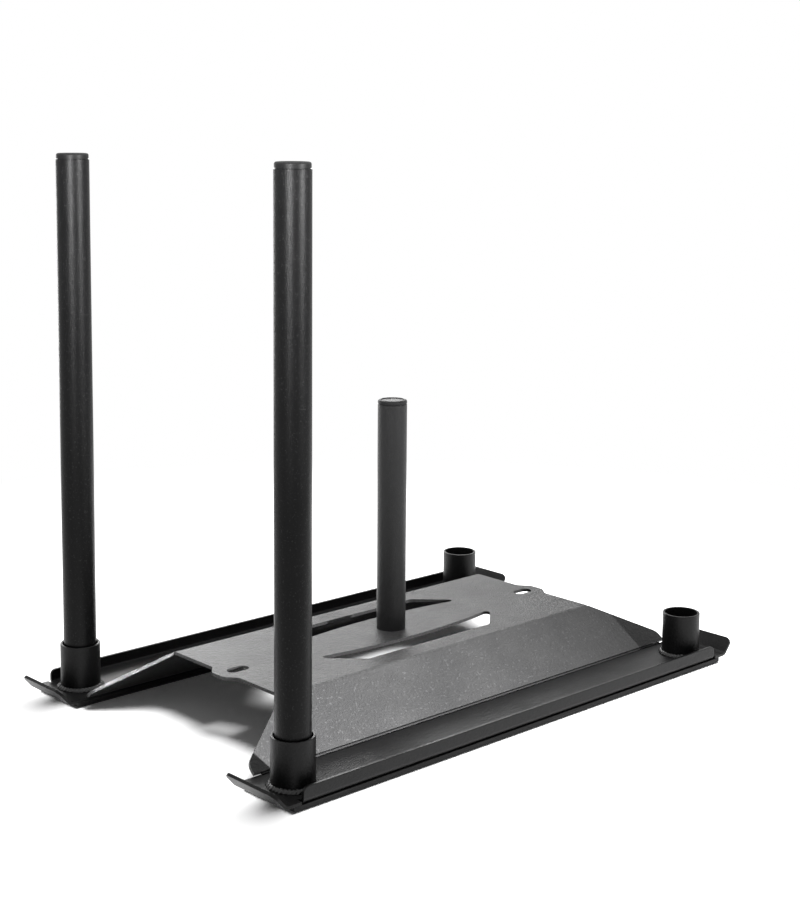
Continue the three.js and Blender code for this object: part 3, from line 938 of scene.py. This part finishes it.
def white_room(context, stage):
    """A white world that the camera and the reflections see, and a softer light for the rest."""
    world = bpy.data.worlds.new("White Room")
    context.scene.world = world
    world.use_nodes = True
    tree = world.node_tree
    tree.nodes.clear()
    seen = put(tree, "ShaderNodeBackground", (0, 100), Color=(1, 1, 1, 1), Strength=1.0)
    light = put(tree, "ShaderNodeBackground", (0, -100), Color=(1, 1, 1, 1), Strength=stage.sky_light)
    mix = put(tree, "ShaderNodeMixShader", (200, 0))
    join(tree, seen_straight(tree, (-400, 200)), mix.inputs[0])
    join(tree, light.outputs[0], mix.inputs[1])
    join(tree, seen.outputs[0], mix.inputs[2])
    join(tree, mix.outputs[0], put(tree, "ShaderNodeOutputWorld", (400, 0)).inputs["Surface"])


def floor_finish(stage):
    """Pale floor that keeps the shadow near the sled and runs into the white room further out."""
    made = bpy.data.materials.new("Pale Floor")
    made.use_nodes = True
    tree = made.node_tree
    tree.nodes.clear()
    pale = (stage.floor_shade,) * 3 + (1.0,)
    matt = put(tree, "ShaderNodeBsdfDiffuse", (-200, 0), Color=pale)
    seen = seen_straight(tree, (-900, 300))
    fill = put(tree, "ShaderNodeEmission", (-200, -150), Color=(1, 1, 1, 1))
    join(tree, calc(tree, "MULTIPLY", seen, stage.floor_fill), fill.inputs["Strength"])
    lit = put(tree, "ShaderNodeAddShader", (0, 0))
    join(tree, matt.outputs[0], lit.inputs[0])
    join(tree, fill.outputs[0], lit.inputs[1])
    white = put(tree, "ShaderNodeEmission", (0, -200), Color=(1, 1, 1, 1), Strength=1.0)
    place = tree.nodes.new("ShaderNodeTexCoord").outputs["Object"]
    reach = tree.nodes.new("ShaderNodeVectorMath")
    reach.operation = "LENGTH"
    join(tree, place, reach.inputs[0])
    far = mapped(tree, reach.outputs["Value"], FLOOR_WHITE_FROM, FLOOR_WHITE_TO)
    mix = put(tree, "ShaderNodeMixShader", (200, 0))
    join(tree, calc(tree, "MULTIPLY", far, seen), mix.inputs[0])
    join(tree, lit.outputs[0], mix.inputs[1])
    join(tree, white.outputs[0], mix.inputs[2])
    join(tree, mix.outputs[0], put(tree, "ShaderNodeOutputMaterial", (400, 0)).inputs["Surface"])
    return made


def floor_mesh():
    bm = bmesh.new()
    bmesh.ops.create_circle(bm, cap_ends=True, radius=FLOOR_RADIUS, segments=FLOOR_FACES)
    for face in bm.faces:
        if face.normal.z < 0:
            face.normal_flip()
    mesh = bpy.data.meshes.new("Studio_Floor")
    bm.to_mesh(mesh)
    bm.free()
    return mesh


def place_soft_box(name, energy, place, aim, width, height, spread=180.0):
    """A soft box that looks at the aim; a grid before it narrows its light to the spread, in degrees."""
    lamp = bpy.data.lights.new(name, "AREA")
    lamp.spread = math.radians(spread)
    lamp.shape = "RECTANGLE"
    lamp.size, lamp.size_y = width, height
    lamp.energy = energy
    made = bpy.data.objects.new(name, lamp)
    made.location = place
    made.rotation_euler = (Vector(aim) - Vector(place)).to_track_quat("-Z", "Y").to_euler()
    made.visible_camera = False
    bpy.context.scene.collection.objects.link(made)
    made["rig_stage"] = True
    return made


def soft_boxes(stage, *names):
    """The named lamps, each with the power that the sidebar gives it."""
    return [place_soft_box(name + "_Light", getattr(stage, name.lower() + "_power"), *LAMPS[name]) for name in names]


def all_but(things, starts):
    return [thing for thing in things if not thing.name.startswith(starts)]


def collected(name, things):
    made = bpy.data.collections.new(name)
    for thing in things:
        made.objects.link(thing)
    return made


def lit_only(lamps, name, things, shades=()):
    """Keeps the light of the lamps to these things; the shades, or else all things, cast its shadows."""
    lit = collected(name + "_Lit", things)
    cast = collected(name + "_Shades", shades) if shades else None
    for lamp in lamps:
        lamp.light_linking.receiver_collection = lit
        if cast:
            lamp.light_linking.blocker_collection = cast


def studio_camera(stage):
    """The camera at its place, looking down a little, with its lens raised or lowered by the shift."""
    camera = bpy.data.objects.new("Studio_Camera", bpy.data.cameras.new("Studio_Camera"))
    camera.data.sensor_width = SENSOR_WIDTH
    camera.data.lens = stage.camera_lens
    camera.data.shift_y = stage.camera_shift
    turn = Matrix.Rotation(-stage.camera_turn, 4, "Z")
    tilt = Matrix.Rotation(math.pi / 2 - stage.camera_tilt, 4, "X")
    roll = Matrix.Rotation(stage.camera_roll, 4, "Z")
    camera.matrix_world = Matrix.Translation(stage.camera_place) @ turn @ tilt @ roll
    bpy.context.scene.collection.objects.link(camera)
    camera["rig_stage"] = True
    return camera


class SledStudio(bpy.types.Operator):
    """Set up the floor, the soft lights and the camera"""

    bl_idname = "push_sled.studio"
    bl_label = "Studio Stage"

    def execute(self, context):
        stage = context.scene.push_sled_stage
        context.scene.view_settings.view_transform = "Standard"
        white_room(context, stage)
        floor = bpy.data.objects.new("Studio_Floor", floor_mesh())
        floor.data.materials.append(floor_finish(stage))
        floor.location.z = -FLOOR_DROP
        context.scene.collection.objects.link(floor)
        floor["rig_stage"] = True
        for_sled = soft_boxes(stage, "Top")
        for_deck = soft_boxes(stage, "Slope", "Edge")
        # The slope light's gloss would glare on the deck from the far side, and the photograph's side sees little of it
        for_deck[0].visible_glossy = False
        for_steel = soft_boxes(stage, "Back")
        for_tubes = soft_boxes(stage, "Left", "Near", "Rim")
        for_floor = soft_boxes(stage, "Floor")
        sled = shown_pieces()
        lit_only(for_sled, "Sled", sled)
        lit_only(for_steel, "Steel", all_but(sled, "Pole_Cap"))
        lit_only(for_tubes, "Tubes", all_but(sled, ("Deck", "Skid_Tray", "Runner")))
        lit_only(for_deck, "Deck", [thing for thing in sled if thing.name.startswith(("Deck", "Weld_Seam"))])
        lit_only(for_floor, "Floor", [floor], all_but(sled, "Skid_Tray"))
        context.scene.camera = studio_camera(stage)
        return {"FINISHED"}


STEPS = (SledDeck, SledTrays, SledRunners, SledSockets, SledPoles, SledCaps, SledPost, SledBeads, SledStudio)


class SledPanel(bpy.types.Panel):
    """Sidebar panel with a button for each step and the values they use"""

    bl_idname = "VIEW3D_PT_push_sled"
    bl_label = "Push Sled"
    bl_space_type = "VIEW_3D"
    bl_region_type = "UI"
    bl_category = "Push Sled"

    def draw(self, context):
        for step in STEPS:
            self.layout.operator(step.bl_idname)
        scene = context.scene
        for group in (scene.push_sled_sizes, scene.push_sled_finish, scene.push_sled_stage):
            box = self.layout.box()
            for name in group.__annotations__:
                box.prop(group, name)


CLASSES = (SledSizes, SledFinish, SledStage) + STEPS + (SledPanel,)


def register():
    for cls in CLASSES:
        bpy.utils.register_class(cls)
    bpy.types.Scene.push_sled_sizes = PointerProperty(type=SledSizes)
    bpy.types.Scene.push_sled_finish = PointerProperty(type=SledFinish)
    bpy.types.Scene.push_sled_stage = PointerProperty(type=SledStage)


def unregister():
    del bpy.types.Scene.push_sled_stage
    del bpy.types.Scene.push_sled_finish
    del bpy.types.Scene.push_sled_sizes
    for cls in reversed(CLASSES):
        bpy.utils.unregister_class(cls)


def main():
    register()
    for step in STEPS:
        group, name = step.bl_idname.split(".")
        getattr(getattr(bpy.ops, group), name)()


if __name__ == "__main__":
    main()
